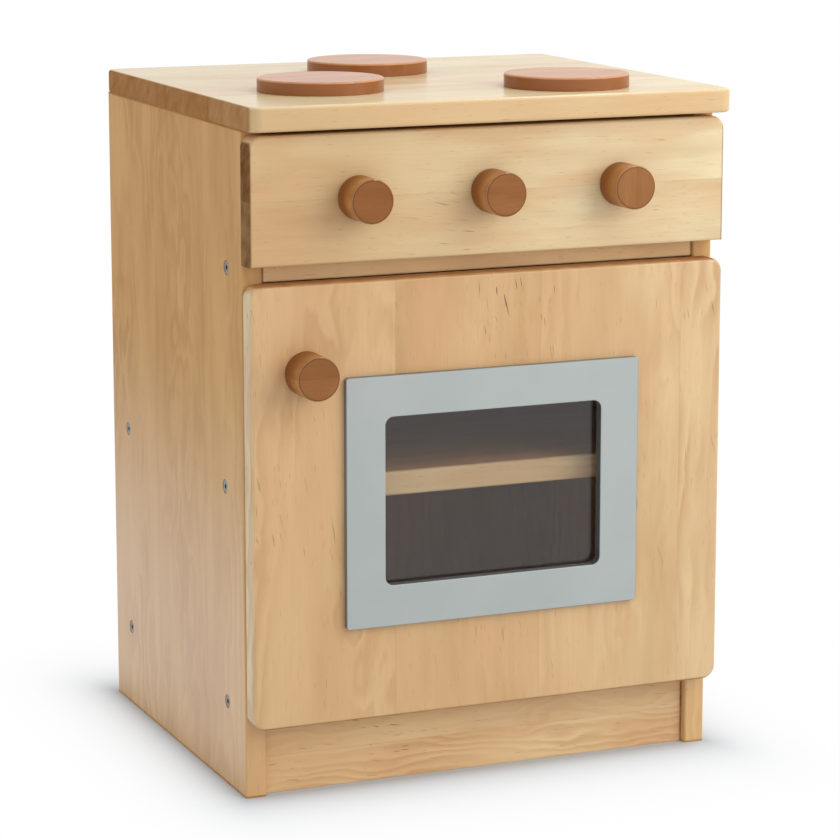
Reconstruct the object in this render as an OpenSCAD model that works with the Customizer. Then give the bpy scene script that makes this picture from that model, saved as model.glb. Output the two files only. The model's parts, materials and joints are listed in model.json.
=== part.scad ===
// A child's wooden play stove: a maple-faced box with an oven door, a window, three burner
// discs and three turning knobs. It stands on the floor: +Z is up and the door faces -Y.
// The origin is on the floor, in the middle of the whole stove, knobs and hinges included.
// The modules work from the case's own corner lines: x = 0 is the middle of the case,
// y = 0 is the plane of the side boards' front edges and z = 0 is the floor.

/* [Case] */
// Width over the two side boards
case_w = 450; // [380:1:520]
// Depth of a side board
case_d = 368; // [300:1:440]
// Height of the top board's upper face
case_h = 609; // [560:1:680]
// Thickness of the side boards, floor, rail and toe kick
board_t = 19; // [16:0.5:25]
// Softening of the boards' front edges
board_round = 2; // [1:0.5:3]
// Thickness of the plywood back
back_t = 6; // [4:0.5:9]
// How far the back panel laps into each side board
back_lap = 9; // [6:0.5:12]

/* [Top board] */
// Thickness of the top
top_t = 21.5; // [18:0.5:28]
// Overhang past each side board
top_side_over = 2.5; // [0:0.5:8]
// Overhang past the side boards' front edges
top_front_over = 33.5; // [28:0.5:45]
// Radius of the top's corners, seen from above
top_corner = 11.5; // [8:0.5:30]
// Rounding along the top's edges
top_round = 3; // [1:0.5:4]

/* [Control panel] */
// Thickness of the control panel
panel_t = 21.5; // [16:0.5:25]
// Height of the control panel
panel_h = 111.5; // [90:0.5:125]
// Gap between the control panel and the top
panel_gap = 4; // [1:0.5:8]
// Radius of the control panel's two upper corners
panel_corner = 11.5; // [8:0.5:25]
// Rounding along the front edges of the control panel and the door
face_round = 3; // [1:0.5:4]

/* [Door] */
// Thickness of the door
door_t = 18; // [16:0.5:25]
// Height of the door
door_h = 390; // [340:1:440]
// Gap between the door and the side boards' front edges, filled by the hinge leaves
door_gap = 3.5; // [3.4:0.1:5]
// Gap between the control panel and the door
door_drop = 16; // [6:0.5:24]
// Radius of the door's corners
door_corner = 12; // [8:0.5:30]

/* [Window] */
// Width of the silver frame
frame_w = 280; // [230:1:320]
// Height of the silver frame
frame_h = 223; // [190:1:260]
// Width of the frame's border
frame_border = 36.5; // [28:0.5:45]
// Thickness of the frame
frame_t = 9.5; // [8:0.5:14]
// How far the frame stands proud of the door
frame_proud = 5; // [3:0.5:7]
// Radius of the window opening's corners
sight_corner = 7.5; // [4:0.5:15]
// Thickness of the smoked pane
pane_t = 3; // [2:0.5:4]
// Lap of the pane behind the frame's border
pane_lap = 10; // [8:0.5:14]

/* [Knobs] */
// Diameter of a knob
knob_d = 38.5; // [30:0.5:50]
// Length of a knob
knob_l = 32.5; // [24:0.5:40]
// Chamfer at a knob's front edge
knob_chamfer = 1.2; // [0.5:0.1:3]
// Distance from knob to knob
knob_pitch = 123.5; // [90:0.5:140]
// Sideways shift of the row of knobs from the middle
knob_shift = -2.5; // [-10:0.5:10]
// Diameter of the knobs' threaded spindles
spindle_d = 6; // [5:0.5:8]
// Distance from the door's free edge to its knob
door_knob_in = 50; // [35:1:60]
// Distance from the door's top edge to its knob
door_knob_down = 77; // [50:1:120]

/* [Burners] */
// Diameter of a burner disc
burner_d = 112; // [80:1:125]
// Thickness of a burner disc
burner_t = 12; // [10:0.5:20]
// Rounding of a burner disc's rim
burner_round = 1.5; // [0.5:0.5:3]
// Front left burner, in from the outside of the left side board
front_left_in = 107; // [85:1:125]
// Front left burner, behind the front edge of the side boards
front_left_y = 88; // [60:1:110]
// Back burner, from the middle of the case
back_x = -11.5; // [-40:0.5:40]
// Back burner, behind the front edge of the side boards
back_y = 243; // [225:1:280]
// Front right burner, in from the outside of the right side board
front_right_in = 125; // [100:1:145]
// Front right burner, behind the front edge of the side boards
front_right_y = 44; // [30:1:90]

/* [Inside] */
// Thickness of the shelf
shelf_t = 21.5; // [16:0.5:25]
// Height of the middle of the shelf
shelf_z = 270.5; // [200:0.5:330]
// Height of the middle of the oven floor
floor_z = 76; // [60:0.5:100]
// Depth of the flat front rail
rail_d = 73; // [50:1:100]
// How far the rail, shelf and floor stay behind the side boards' front edges
inner_recess = 1.5; // [0.5:0.5:6]
// How far the toe kick is set back
kick_recess = 8; // [3:0.5:30]
// Side of the square strips used for cleats and corner blocks
strip_t = 19; // [15:0.5:24]

/* [Connector bolts] */
// Diameter of a connector bolt
bolt_d = 6; // [5:0.5:7]
// Diameter of its head
bolt_head_d = 12.5; // [10:0.5:16]
// Thickness of its head
bolt_head_t = 2; // [1.5:0.5:3]
// Length under the head
bolt_l = 50; // [42:1:60]
// Distance of the front bolts behind the side boards' front edges
bolt_front = 47; // [30:1:80]
// Distance of the back bolts before the side boards' back edges
bolt_back = 45; // [30:1:80]
// Diameter of a barrel nut
nut_d = 10; // [9:0.5:12]
// Length of a barrel nut
nut_l = 14; // [12:0.5:15]
// Distance of a barrel nut from the end of its board
nut_in = 32; // [24:1:36]

/* [Hinges] */
// Height of a hinge
hinge_h = 51; // [40:1:70]
// Thickness of a leaf
leaf_t = 1.5; // [1.2:0.1:1.6]
// Diameter of the hinge pin
pin_d = 3; // [2.5:0.5:4]
// Diameter of a knuckle
knuckle_d = 6; // [5.5:0.5:8]
// Distance from the door's top or bottom edge to the middle of a hinge
hinge_in = 62; // [45:1:100]

/* [Screws] */
// Diameter of the wood screws
screw_d = 3.5; // [3:0.5:4]
// Diameter of their countersunk heads
screw_head_d = 7; // [6:0.5:8]
// Diameter of the small screws in hinges and catch
small_screw_d = 2.5; // [2:0.5:3]
// Diameter of their heads
small_head_d = 5; // [4:0.5:6]

/* [Catch] */
// Height of the magnetic catch
catch_h = 46; // [36:1:60]
// Depth of the magnetic catch
catch_d = 15; // [12:1:22]
// Thickness of the magnetic catch
catch_t = 13; // [10:1:16]
// Thickness of the strike plate
strike_t = 1; // [0.8:0.1:1.4]

/* [Hidden] */
$fn = 48;

// Clearances: loose seats, turning fits, screws in their holes and the knobs' end play
seat_clear = 0.3;
turn_clear = 0.05;
screw_clear = 0.1;
end_play = 0.1;
// How far a cutter reaches past the face where it starts
cut_past = 1;

maple = [0.86, 0.72, 0.53];
birch_ply = [0.80, 0.68, 0.50];
stained = [0.62, 0.38, 0.24];
silver = [0.72, 0.75, 0.73];
smoked = [0.25, 0.22, 0.20];
steel = [0.70, 0.71, 0.72];
nylon = [0.93, 0.92, 0.88];
rubber = [0.25, 0.24, 0.23];

// Planes and edges that several pieces share
half_w = case_w / 2;
inner_x = half_w - board_t;
side_h = case_h - top_t;
back_y0 = case_d - back_t;
panel_z1 = side_h - panel_gap;
panel_z0 = panel_z1 - panel_h;
knob_z = (panel_z0 + panel_z1) / 2;
door_z1 = panel_z0 - door_drop;
door_z0 = door_z1 - door_h;
door_mid_z = (door_z0 + door_z1) / 2;
door_front = -door_gap - door_t;
rail_lap = 0.5;
rail_z = door_z1 - rail_lap + board_t / 2;
rail_y = inner_recess + rail_d / 2;
kick_top = floor_z - board_t / 2;

// The turning knobs: washers, nut and where each layer lies
knob_round_back = 0.6;
front_washer_t = 0.8;
rear_washer_t = 1.2;
washer_d = 20;
locknut_t = 6;
locknut_af = 10;
spindle_in_knob = 20;
spindle_end = 1.5;
knob_back_y = -panel_t - front_washer_t - end_play;
knob_front_y = knob_back_y - knob_l;
locknut_y = rear_washer_t + end_play;
knob_xs = [for (i = [-1:1]) knob_shift + i * knob_pitch];

// Door knob and its screw
door_knob_x = -half_w + door_knob_in;
door_knob_z = door_z1 - door_knob_down;
door_knob_screw_d = 5;
door_knob_screw_in = 18;
pan_head_d = 9;
pan_head_t = 2.6;

// Hinge barrel: just outside the door's edge, in the plane of the gap
barrel_gap = 0.5;
hinge_x = half_w + barrel_gap + knuckle_d / 2;
hinge_y = -door_gap / 2;
hinge_zs = [door_z0 + hinge_in, door_z1 - hinge_in];
knuckle_play = 0.3;
knuckle_h = (hinge_h - 2 * knuckle_play) / 3;
pin_head_t = 1.5;
pin_head_d = 5;
leaf_inset = 2;
leaf_inner_x = inner_x + leaf_inset;
leaf_screw_x = (inner_x + half_w) / 2;
leaf_screw_dz = 15;

// The whole stove's box, which puts the origin in its middle
mid_x = ((hinge_x + knuckle_d / 2) - (half_w + top_side_over)) / 2;
mid_y = (case_d + knob_front_y) / 2;

// Rounding of a facing board's back edges
back_round = 1;

// Window layers, front to back: frame, pane, door
frame_edge = 1.2;
frame_corner = 3;
door_lip = pane_lap + 2;
frame_front = door_front - frame_proud;
seat_y = frame_front + frame_t;
pane_back_y = seat_y + pane_t + 2 * screw_clear;
sight_w = frame_w - 2 * frame_border;
sight_h = frame_h - 2 * frame_border;
frame_screw_bite = 5;
frame_screw_l = door_t - (frame_t - frame_proud) + frame_screw_bite;
frame_screw_x = (frame_w / 2 + sight_w / 2 + pane_lap) / 2;
frame_screw_z = (frame_h / 2 + sight_h / 2 + pane_lap) / 2;

// Places of the connector bolts on a side board, as [y, z]
bolt_places = [
    [rail_y, rail_z],
    [bolt_front, shelf_z], [case_d - bolt_back, shelf_z],
    [bolt_front, floor_z], [case_d - bolt_back, floor_z]
];
bolt_sink = 0.4;
bolt_hole_clear = 0.2;
socket_af = 4;
socket_depth = 1.4;

// Screws, and the strips and blocks that they hold
long_screw_l = 32;
back_screw_l = 18;
burner_screw_l = 28;
burner_screw_dx = 22;
small_screw_l = 14;
cleat_gap = 4;
cleat_end = 20;
cleat_y0 = strip_t + cleat_gap;
cleat_y1 = back_y0 - cleat_end;
block_rise = 16;
block_z0 = panel_z0 + block_rise;
block_h = 70;
block_screw_in = 10.5;
block_screw_step = 14;
kick_block_gap = 10;
kick_block_h = kick_top - 2 * kick_block_gap;
kick_screw_in = 13;
back_screw_in = 52;
back_screw_x = 0.6;
back_screw_rows = 5;
kick_back_y = kick_recess + board_t;

// Magnetic catch, behind the door's free edge
catch_z = door_knob_z;
catch_gap = 0.3;
catch_front = -door_gap + strike_t + catch_gap;
strike_w = 11;
strike_h = 38;
strike_x = -inner_x + catch_t / 2;
bumper_d = 9;
catch_screw_in = 6;
catch_screw_bite = 8;
catch_screw_dz = catch_h / 2 - catch_screw_in;

burner_places = [
    [-half_w + front_left_in, front_left_y], [back_x, back_y],
    [half_w - front_right_in, front_right_y]
];

// Puts a piece drawn from the case's lines into the stove's own frame
module placed() { translate([-mid_x, -mid_y, 0]) children(); }

module mirror_if(flip) { if (flip) mirror([1, 0, 0]) children(); else children(); }

// Turns a shape that points up so that it points along +Y, -Y, +X or -X
module to_back() { rotate([-90, 0, 0]) children(); }
module to_front() { rotate([90, 0, 0]) children(); }
module to_right() { rotate([0, 90, 0]) children(); }
module to_left() { rotate([0, -90, 0]) children(); }

// A disc whose rims are rounded by low below and by high above
module soft_disc(r, t, low, high) {
    rotate_extrude($fn = 32) {
        translate([0, low]) square([r, t - low - high]);
        square([r - low, low]);
        translate([0, t - high]) square([r - high, high]);
        translate([r - low, low]) circle(low, $fn = 16);
        translate([r - high, t - high]) circle(high, $fn = 16);
    }
}

// A board standing in X and Z, its front at y = 0, with four round corners
module facing_board(w, h, t, corner, front_round) {
    hull() for (x = [-1, 1], z = [corner, h - corner])
        translate([x * (w / 2 - corner), 0, z]) to_back() soft_disc(corner, t, front_round, back_round);
}

// A plan rectangle from x = 0 to w and y = 0 to d with its two front corners softened
module soft_plan(w, d, r) {
    translate([0, r]) square([w, d - r]);
    translate([r, 0]) square([w - 2 * r, r]);
    for (x = [r, w - r]) translate([x, r]) circle(r, $fn = 32);
}

// A flat board of thickness t across the case, from y0 back to y1, its middle at height z
module cross_board(y0, y1, z, t = board_t) {
    translate([-inner_x, y0, z - t / 2]) rotate([90, 0, 90])
        linear_extrude(2 * inner_x) mirror([1, -1]) soft_plan(t, y1 - y0, board_round);
}

// A countersunk screw with its head's face at z = 0, driven along +Z; grow widens it for a hole
module wood_screw(l, d, head_d, grow = 0) {
    sink = (head_d - d) / 2;
    cylinder(r1 = head_d / 2 + grow, r2 = d / 2 + grow, h = sink, $fn = 32);
    translate([0, 0, sink - 0.01]) cylinder(r = d / 2 + grow, h = l - sink + grow + 0.01, $fn = 24);
}

module big_screw(l, grow = 0) { wood_screw(l, screw_d, screw_head_d, grow); }
module small_screw(l, grow = 0) { wood_screw(l, small_screw_d, small_head_d, grow); }

// A connector bolt at each place on the left side board, driven along +X
module bolts(grow = 0) {
    for (p = bolt_places) translate([-half_w, p[0], p[1]]) to_right() {
        translate([0, 0, grow > 0 ? -1 : bolt_sink])
            cylinder(r = bolt_head_d / 2 + grow, h = bolt_head_t + (grow > 0 ? 1 + bolt_sink : 0));
        translate([0, 0, bolt_sink + bolt_head_t - 0.01])
            cylinder(r = bolt_d / 2 + grow, h = bolt_l + grow + 0.01);
    }
}

// A barrel nut for each bolt, upright in the end of its board
module nuts(grow = 0) {
    below = grow > 0 ? max(board_t, shelf_t) / 2 + cut_past : nut_l / 2;
    for (p = bolt_places)
        translate([-inner_x + nut_in, p[0], p[1] - below])
            cylinder(r = nut_d / 2 + grow, h = below + nut_l / 2 + grow);
}

module bolt_and_nut_holes() {
    for (flip = [false, true]) mirror_if(flip) { bolts(bolt_hole_clear); nuts(screw_clear); }
}

// Screws of one cleat: three sideways into the side board and three up into the top
module cleat_screw_set(grow = 0) {
    step = (cleat_y1 - cleat_y0) / 6;
    for (i = [0:2]) {
        translate([-inner_x + strip_t, cleat_y0 + (2 * i + 0.5) * step, side_h - strip_t / 2])
            to_left() big_screw(long_screw_l, grow);
        translate([-inner_x + strip_t / 2, cleat_y0 + (2 * i + 1.5) * step, side_h - strip_t])
            big_screw(long_screw_l, grow);
    }
}

// Screws of one block behind the control panel: two into the panel, two into the side board
module panel_block_screw_set(grow = 0) {
    for (z = [block_z0 + block_screw_in, block_z0 + block_h - block_screw_in - block_screw_step]) {
        translate([-inner_x + strip_t / 2, strip_t, z]) to_front() big_screw(long_screw_l, grow);
        translate([-inner_x + strip_t, strip_t / 2, z + block_screw_step]) to_left()
            big_screw(long_screw_l, grow);
    }
}

// Screws of one block behind the toe kick: one into the kick, one into the side board
module kick_block_screw_set(grow = 0) {
    translate([-inner_x + strip_t / 2, kick_back_y + strip_t, kick_block_gap + kick_screw_in])
        to_front() big_screw(long_screw_l, grow);
    translate([-inner_x + strip_t, kick_back_y + strip_t / 2, kick_top - kick_block_gap - kick_screw_in])
        to_left() big_screw(long_screw_l, grow);
}

// Screws through the back panel into the side boards, the shelf and the floor
module back_screw_set(grow = 0) {
    step = (side_h - kick_top - 2 * back_screw_in) / (back_screw_rows - 1);
    for (x = [-1, 1], i = [0:back_screw_rows - 1])
        translate([x * (inner_x + back_lap / 2), case_d, kick_top + back_screw_in + i * step])
            to_front() small_screw(back_screw_l, grow);
    for (x = [-1:1], z = [floor_z, shelf_z])
        translate([x * inner_x * back_screw_x, case_d, z]) to_front()
            small_screw(back_screw_l, grow);
}

// Two screws up through the top into each burner
module burner_screw_set(grow = 0) {
    for (p = burner_places, x = [-1, 1])
        translate([p[0] + x * burner_screw_dx, p[1], side_h]) big_screw(burner_screw_l, grow);
}

// Eight screws from the back of the door into the window frame
module frame_screw_set(grow = 0) {
    for (x = [-1:1], z = [-1:1]) if (x != 0 || z != 0)
        translate([x * frame_screw_x, -door_gap, door_mid_z + z * frame_screw_z]) to_front()
            small_screw(frame_screw_l, grow);
}

module door_knob_bolt(grow = 0) {
    translate([door_knob_x, -door_gap, door_knob_z]) to_front()
        cylinder(r = door_knob_screw_d / 2 + grow, h = door_t + door_knob_screw_in + grow);
}

module hinge_side_screw_set(grow = 0) {
    for (z = hinge_zs, dz = [-1, 1])
        translate([leaf_screw_x, -leaf_t, z + dz * leaf_screw_dz]) to_back()
            small_screw(small_screw_l, grow);
}

module hinge_door_screw_set(grow = 0) {
    for (z = hinge_zs, dz = [-1, 1])
        translate([leaf_screw_x, -door_gap + leaf_t, z + dz * leaf_screw_dz]) to_front()
            small_screw(small_screw_l, grow);
}

module catch_screw_set(grow = 0) {
    for (dz = [-1, 1])
        translate([-inner_x + catch_t, catch_front + catch_d / 2, catch_z + dz * catch_screw_dz])
            to_left() small_screw(catch_t + catch_screw_bite, grow);
}

module strike_screw_shape(grow = 0) {
    translate([strike_x, -door_gap + strike_t, catch_z]) to_front() small_screw(small_screw_l, grow);
}

// One side board, on the left
module side_board() {
    difference() {
        translate([-half_w, 0, 0]) linear_extrude(side_h) soft_plan(board_t, case_d, board_round);
        translate([-inner_x - back_lap, back_y0, kick_top]) cube([back_lap + 1, back_t + 1, side_h]);
        bolts(bolt_hole_clear);
        cleat_screw_set(screw_clear);
        panel_block_screw_set(screw_clear);
        kick_block_screw_set(screw_clear);
        back_screw_set(screw_clear);
    }
}

module side_panel_left() {
    color(maple) placed() difference() { side_board(); catch_screw_set(screw_clear); }
}

module side_panel_right() {
    color(maple) placed() difference() {
        mirror_if(true) side_board();
        hinge_side_screw_set(screw_clear);
    }
}

module top_panel() {
    w = case_w + 2 * top_side_over;
    color(maple) placed() difference() {
        hull() for (x = [-1, 1], y = [-top_front_over + top_corner, case_d - top_corner])
            translate([x * (w / 2 - top_corner), y, side_h])
                soft_disc(top_corner, top_t, top_round, top_round);
        burner_screw_set(screw_clear);
        for (flip = [false, true]) mirror_if(flip) cleat_screw_set(screw_clear);
    }
}

module back_panel() {
    color(birch_ply) placed() difference() {
        translate([-inner_x - back_lap + seat_clear, back_y0, kick_top + seat_clear])
            cube([2 * (inner_x + back_lap - seat_clear), back_t, side_h - kick_top - seat_clear]);
        back_screw_set(screw_clear);
    }
}

module floor_panel() {
    color(maple) placed() difference() {
        cross_board(inner_recess, back_y0, floor_z);
        bolt_and_nut_holes();
        back_screw_set(screw_clear);
    }
}

module oven_shelf() {
    color(maple) placed() difference() {
        cross_board(inner_recess, back_y0, shelf_z, shelf_t);
        bolt_and_nut_holes();
        back_screw_set(screw_clear);
    }
}

module front_rail() {
    color(maple) placed() difference() {
        cross_board(inner_recess, inner_recess + rail_d, rail_z);
        bolt_and_nut_holes();
    }
}

module toe_kick() {
    color(maple) placed() difference() {
        translate([-inner_x, kick_recess, 0]) cube([2 * inner_x, board_t, kick_top]);
        for (flip = [false, true]) mirror_if(flip) kick_block_screw_set(screw_clear);
    }
}

module top_cleat(flip) {
    color(maple) placed() mirror_if(flip) difference() {
        translate([-inner_x, cleat_y0, side_h - strip_t])
            cube([strip_t, cleat_y1 - cleat_y0, strip_t]);
        cleat_screw_set(screw_clear);
    }
}
module top_cleat_left() { top_cleat(false); }
module top_cleat_right() { top_cleat(true); }

module panel_block(flip) {
    color(maple) placed() mirror_if(flip) difference() {
        translate([-inner_x, 0, block_z0]) cube([strip_t, strip_t, block_h]);
        panel_block_screw_set(screw_clear);
    }
}
module panel_block_left() { panel_block(false); }
module panel_block_right() { panel_block(true); }

module kick_block(flip) {
    color(maple) placed() mirror_if(flip) difference() {
        translate([-inner_x, kick_back_y, kick_block_gap]) cube([strip_t, strip_t, kick_block_h]);
        kick_block_screw_set(screw_clear);
    }
}
module kick_block_left() { kick_block(false); }
module kick_block_right() { kick_block(true); }

// Five bolts, each with a hex socket in its head
module connector_bolts(flip) {
    color(steel) placed() mirror_if(flip) difference() {
        bolts();
        for (p = bolt_places) translate([-half_w + bolt_sink - 1, p[0], p[1]]) to_right()
            cylinder(d = socket_af / cos(30), h = socket_depth + 1, $fn = 6);
    }
}
module connector_bolts_left() { connector_bolts(false); }
module connector_bolts_right() { connector_bolts(true); }

module barrel_nuts(flip) {
    color(steel) placed() mirror_if(flip) difference() { nuts(); bolts(turn_clear); }
}
module barrel_nuts_left() { barrel_nuts(false); }
module barrel_nuts_right() { barrel_nuts(true); }

module cleat_screws() {
    color(steel) placed() for (flip = [false, true]) mirror_if(flip) cleat_screw_set();
}
module panel_block_screws() {
    color(steel) placed() for (flip = [false, true]) mirror_if(flip) panel_block_screw_set();
}
module kick_block_screws() {
    color(steel) placed() for (flip = [false, true]) mirror_if(flip) kick_block_screw_set();
}
module back_screws() { color(steel) placed() back_screw_set(); }

// A burner disc with a rounded upper rim and two blind screw holes
module burner(place) {
    color(stained) placed() difference() {
        translate([place[0], place[1], case_h]) rotate_extrude($fn = 96) {
            square([burner_d / 2, burner_t - burner_round]);
            square([burner_d / 2 - burner_round, burner_t]);
            translate([burner_d / 2 - burner_round, burner_t - burner_round])
                circle(burner_round, $fn = 32);
        }
        burner_screw_set(screw_clear);
    }
}
module burner_front_left() { burner(burner_places[0]); }
module burner_back() { burner(burner_places[1]); }
module burner_front_right() { burner(burner_places[2]); }
module burner_screws() { color(steel) placed() burner_screw_set(); }

// The control panel: round upper corners, square lower ones, three bores for the spindles
module control_panel() {
    color(maple) placed() difference() {
        translate([0, -panel_t, panel_z0]) hull() {
            for (x = [-1, 1]) {
                translate([x * (half_w - panel_corner), 0, panel_h - panel_corner]) to_back()
                    soft_disc(panel_corner, panel_t, face_round, back_round);
                translate([x * (half_w - face_round), face_round, face_round])
                    sphere(face_round, $fn = 24);
                translate([x * half_w - (x + 1) / 2, panel_t - face_round, 0])
                    cube([1, face_round, 1]);
            }
        }
        for (x = knob_xs) translate([x, -panel_t - 1, knob_z]) to_back()
            cylinder(r = spindle_d / 2 + turn_clear, h = panel_t + 2);
        for (flip = [false, true]) mirror_if(flip) panel_block_screw_set(screw_clear);
    }
}

// A turned knob that points along -Y, its flat back at y, with a blind bore of radius bore_r
module turned_knob(x, y, z, bore_r, bore_l) {
    r = knob_d / 2;
    translate([x, y, z]) to_front() difference() {
        rotate_extrude($fn = 96) polygon([
            [0, 0], [r - knob_round_back, 0], [r, knob_round_back], [r, knob_l - knob_chamfer],
            [r - knob_chamfer, knob_l], [0, knob_l]
        ]);
        translate([0, 0, -1]) cylinder(r = bore_r, h = bore_l + 1);
    }
}

module control_knob(i) {
    color(stained) placed() turned_knob(knob_xs[i], knob_back_y, knob_z,
        spindle_d / 2 + turn_clear, spindle_in_knob + screw_clear);
}
module control_knob_left() { control_knob(0); }
module control_knob_middle() { control_knob(1); }
module control_knob_right() { control_knob(2); }

module knob_spindle(i) {
    l = spindle_in_knob - knob_back_y + locknut_y + locknut_t + spindle_end;
    color(steel) placed() translate([knob_xs[i], knob_back_y - spindle_in_knob, knob_z]) to_back()
        cylinder(r = spindle_d / 2, h = l);
}
module knob_spindle_left() { knob_spindle(0); }
module knob_spindle_middle() { knob_spindle(1); }
module knob_spindle_right() { knob_spindle(2); }

module knob_locknut(i) {
    color(steel) placed() translate([knob_xs[i], locknut_y, knob_z]) to_back() difference() {
        cylinder(d = locknut_af / cos(30), h = locknut_t, $fn = 6);
        translate([0, 0, -1]) cylinder(r = spindle_d / 2 + turn_clear, h = locknut_t + 2);
    }
}
module knob_locknut_left() { knob_locknut(0); }
module knob_locknut_middle() { knob_locknut(1); }
module knob_locknut_right() { knob_locknut(2); }

module washer_row(y, t) {
    for (x = knob_xs) translate([x, y, knob_z]) to_back() difference() {
        cylinder(d = washer_d, h = t);
        translate([0, 0, -1]) cylinder(r = spindle_d / 2 + 2 * turn_clear, h = t + 2);
    }
}
module knob_front_washers() {
    color(nylon) placed() washer_row(-panel_t - front_washer_t, front_washer_t);
}
module knob_rear_washers() { color(steel) placed() washer_row(0, rear_washer_t); }

// A rectangle in X and Z with round corners, centred on the window and running back from y
module window_block(w, h, corner, y, depth) {
    translate([0, y, door_mid_z]) to_back() linear_extrude(depth) {
        square([w - 2 * corner, h], center = true);
        square([w, h - 2 * corner], center = true);
        for (x = [-1, 1], z = [-1, 1])
            translate([x * (w / 2 - corner), z * (h / 2 - corner)]) circle(corner, $fn = 32);
    }
}

// The door: a seat for the frame in its face, a deeper one for the pane, then the opening
module door_panel() {
    color(maple) placed() difference() {
        translate([0, door_front, door_z0])
            facing_board(case_w, door_h, door_t, door_corner, face_round);
        window_block(frame_w + 2 * screw_clear, frame_h + 2 * screw_clear, frame_corner,
            door_front - cut_past, seat_y - door_front + cut_past);
        window_block(sight_w + 2 * pane_lap, sight_h + 2 * pane_lap, frame_corner,
            door_front - cut_past, pane_back_y - door_front + cut_past);
        window_block(sight_w + door_lip, sight_h + door_lip, sight_corner,
            door_front - cut_past, door_t + 2 * cut_past);
        frame_screw_set(screw_clear);
        door_knob_bolt(screw_clear);
        hinge_door_screw_set(screw_clear);
        strike_screw_shape(screw_clear);
    }
}

module window_frame() {
    color(silver) placed() difference() {
        translate([0, frame_front, door_mid_z - frame_h / 2])
            facing_board(frame_w, frame_h, frame_t, frame_corner, frame_edge);
        window_block(sight_w, sight_h, sight_corner,
            frame_front - cut_past, frame_t + 2 * cut_past);
        frame_screw_set(screw_clear);
    }
}

module window_pane() {
    loose = 2 * (pane_lap - seat_clear);
    color(smoked) placed()
        window_block(sight_w + loose, sight_h + loose, frame_corner, seat_y + screw_clear, pane_t);
}

module frame_screws() { color(steel) placed() frame_screw_set(); }

module door_knob() {
    color(stained) placed() turned_knob(door_knob_x, door_front, door_knob_z,
        door_knob_screw_d / 2 + turn_clear, door_knob_screw_in + screw_clear);
}

module door_knob_screw() {
    color(steel) placed() {
        door_knob_bolt();
        translate([door_knob_x, -door_gap, door_knob_z]) to_back()
            cylinder(d = pan_head_d, h = pan_head_t);
    }
}

module door_bumpers() {
    color(rubber) placed() for (z = hinge_zs)
        translate([-leaf_screw_x, -door_gap, z]) to_back()
            cylinder(d = bumper_d, h = door_gap - seat_clear);
}

// One hinge leaf around its barrel at z: the plate reaches in to the barrel at its own knuckles
module hinge_leaf(z, plate_y, knuckles) {
    difference() {
        union() {
            translate([leaf_inner_x, plate_y, z - hinge_h / 2])
                cube([half_w - leaf_inner_x, leaf_t, hinge_h]);
            for (k = knuckles) translate([0, 0, z - hinge_h / 2 + k * (knuckle_h + knuckle_play)]) {
                translate([half_w - 1, plate_y, 0]) cube([hinge_x - half_w + 1, leaf_t, knuckle_h]);
                translate([hinge_x, hinge_y, 0]) cylinder(d = knuckle_d, h = knuckle_h);
            }
        }
        translate([hinge_x, hinge_y, z - hinge_h]) cylinder(r = pin_d / 2 + turn_clear, h = 2 * hinge_h);
    }
}

module hinge_side_leaf(z) {
    color(steel) placed() difference() {
        hinge_leaf(z, -leaf_t, [0, 2]);
        hinge_side_screw_set(screw_clear);
    }
}
module hinge_side_leaf_upper() { hinge_side_leaf(hinge_zs[1]); }
module hinge_side_leaf_lower() { hinge_side_leaf(hinge_zs[0]); }

module hinge_door_leaf(z) {
    color(steel) placed() difference() {
        hinge_leaf(z, -door_gap, [1]);
        hinge_door_screw_set(screw_clear);
    }
}
module hinge_door_leaf_upper() { hinge_door_leaf(hinge_zs[1]); }
module hinge_door_leaf_lower() { hinge_door_leaf(hinge_zs[0]); }

module hinge_pin(z) {
    color(steel) placed() translate([hinge_x, hinge_y, z - hinge_h / 2]) {
        cylinder(d = pin_d, h = hinge_h + end_play + 0.01);
        translate([0, 0, hinge_h + end_play]) cylinder(d = pin_head_d, h = pin_head_t);
    }
}
module hinge_pin_upper() { hinge_pin(hinge_zs[1]); }
module hinge_pin_lower() { hinge_pin(hinge_zs[0]); }

module hinge_side_screws() { color(steel) placed() hinge_side_screw_set(); }
module hinge_door_screws() { color(steel) placed() hinge_door_screw_set(); }

module magnetic_catch() {
    color(nylon) placed() difference() {
        translate([-inner_x, catch_front, catch_z - catch_h / 2]) cube([catch_t, catch_d, catch_h]);
        catch_screw_set(screw_clear);
    }
}
module catch_screws() { color(steel) placed() catch_screw_set(); }

module strike_plate() {
    color(steel) placed() difference() {
        translate([strike_x - strike_w / 2, -door_gap, catch_z - strike_h / 2])
            cube([strike_w, strike_t, strike_h]);
        strike_screw_shape(screw_clear);
    }
}
module strike_screw() { color(steel) placed() strike_screw_shape(); }

top_panel();
side_panel_left();
side_panel_right();
back_panel();
floor_panel();
oven_shelf();
toe_kick();
front_rail();
top_cleat_left();
top_cleat_right();
panel_block_left();
panel_block_right();
kick_block_left();
kick_block_right();
connector_bolts_left();
connector_bolts_right();
barrel_nuts_left();
barrel_nuts_right();
cleat_screws();
panel_block_screws();
kick_block_screws();
back_screws();
burner_front_left();
burner_back();
burner_front_right();
burner_screws();
control_panel();
control_knob_left();
control_knob_middle();
control_knob_right();
knob_spindle_left();
knob_spindle_middle();
knob_spindle_right();
knob_locknut_left();
knob_locknut_middle();
knob_locknut_right();
knob_front_washers();
knob_rear_washers();
door_panel();
window_frame();
window_pane();
frame_screws();
door_knob();
door_knob_screw();
door_bumpers();
hinge_side_leaf_upper();
hinge_side_leaf_lower();
hinge_door_leaf_upper();
hinge_door_leaf_lower();
hinge_pin_upper();
hinge_pin_lower();
hinge_side_screws();
hinge_door_screws();
magnetic_catch();
catch_screws();
strike_plate();
strike_screw();
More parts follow.
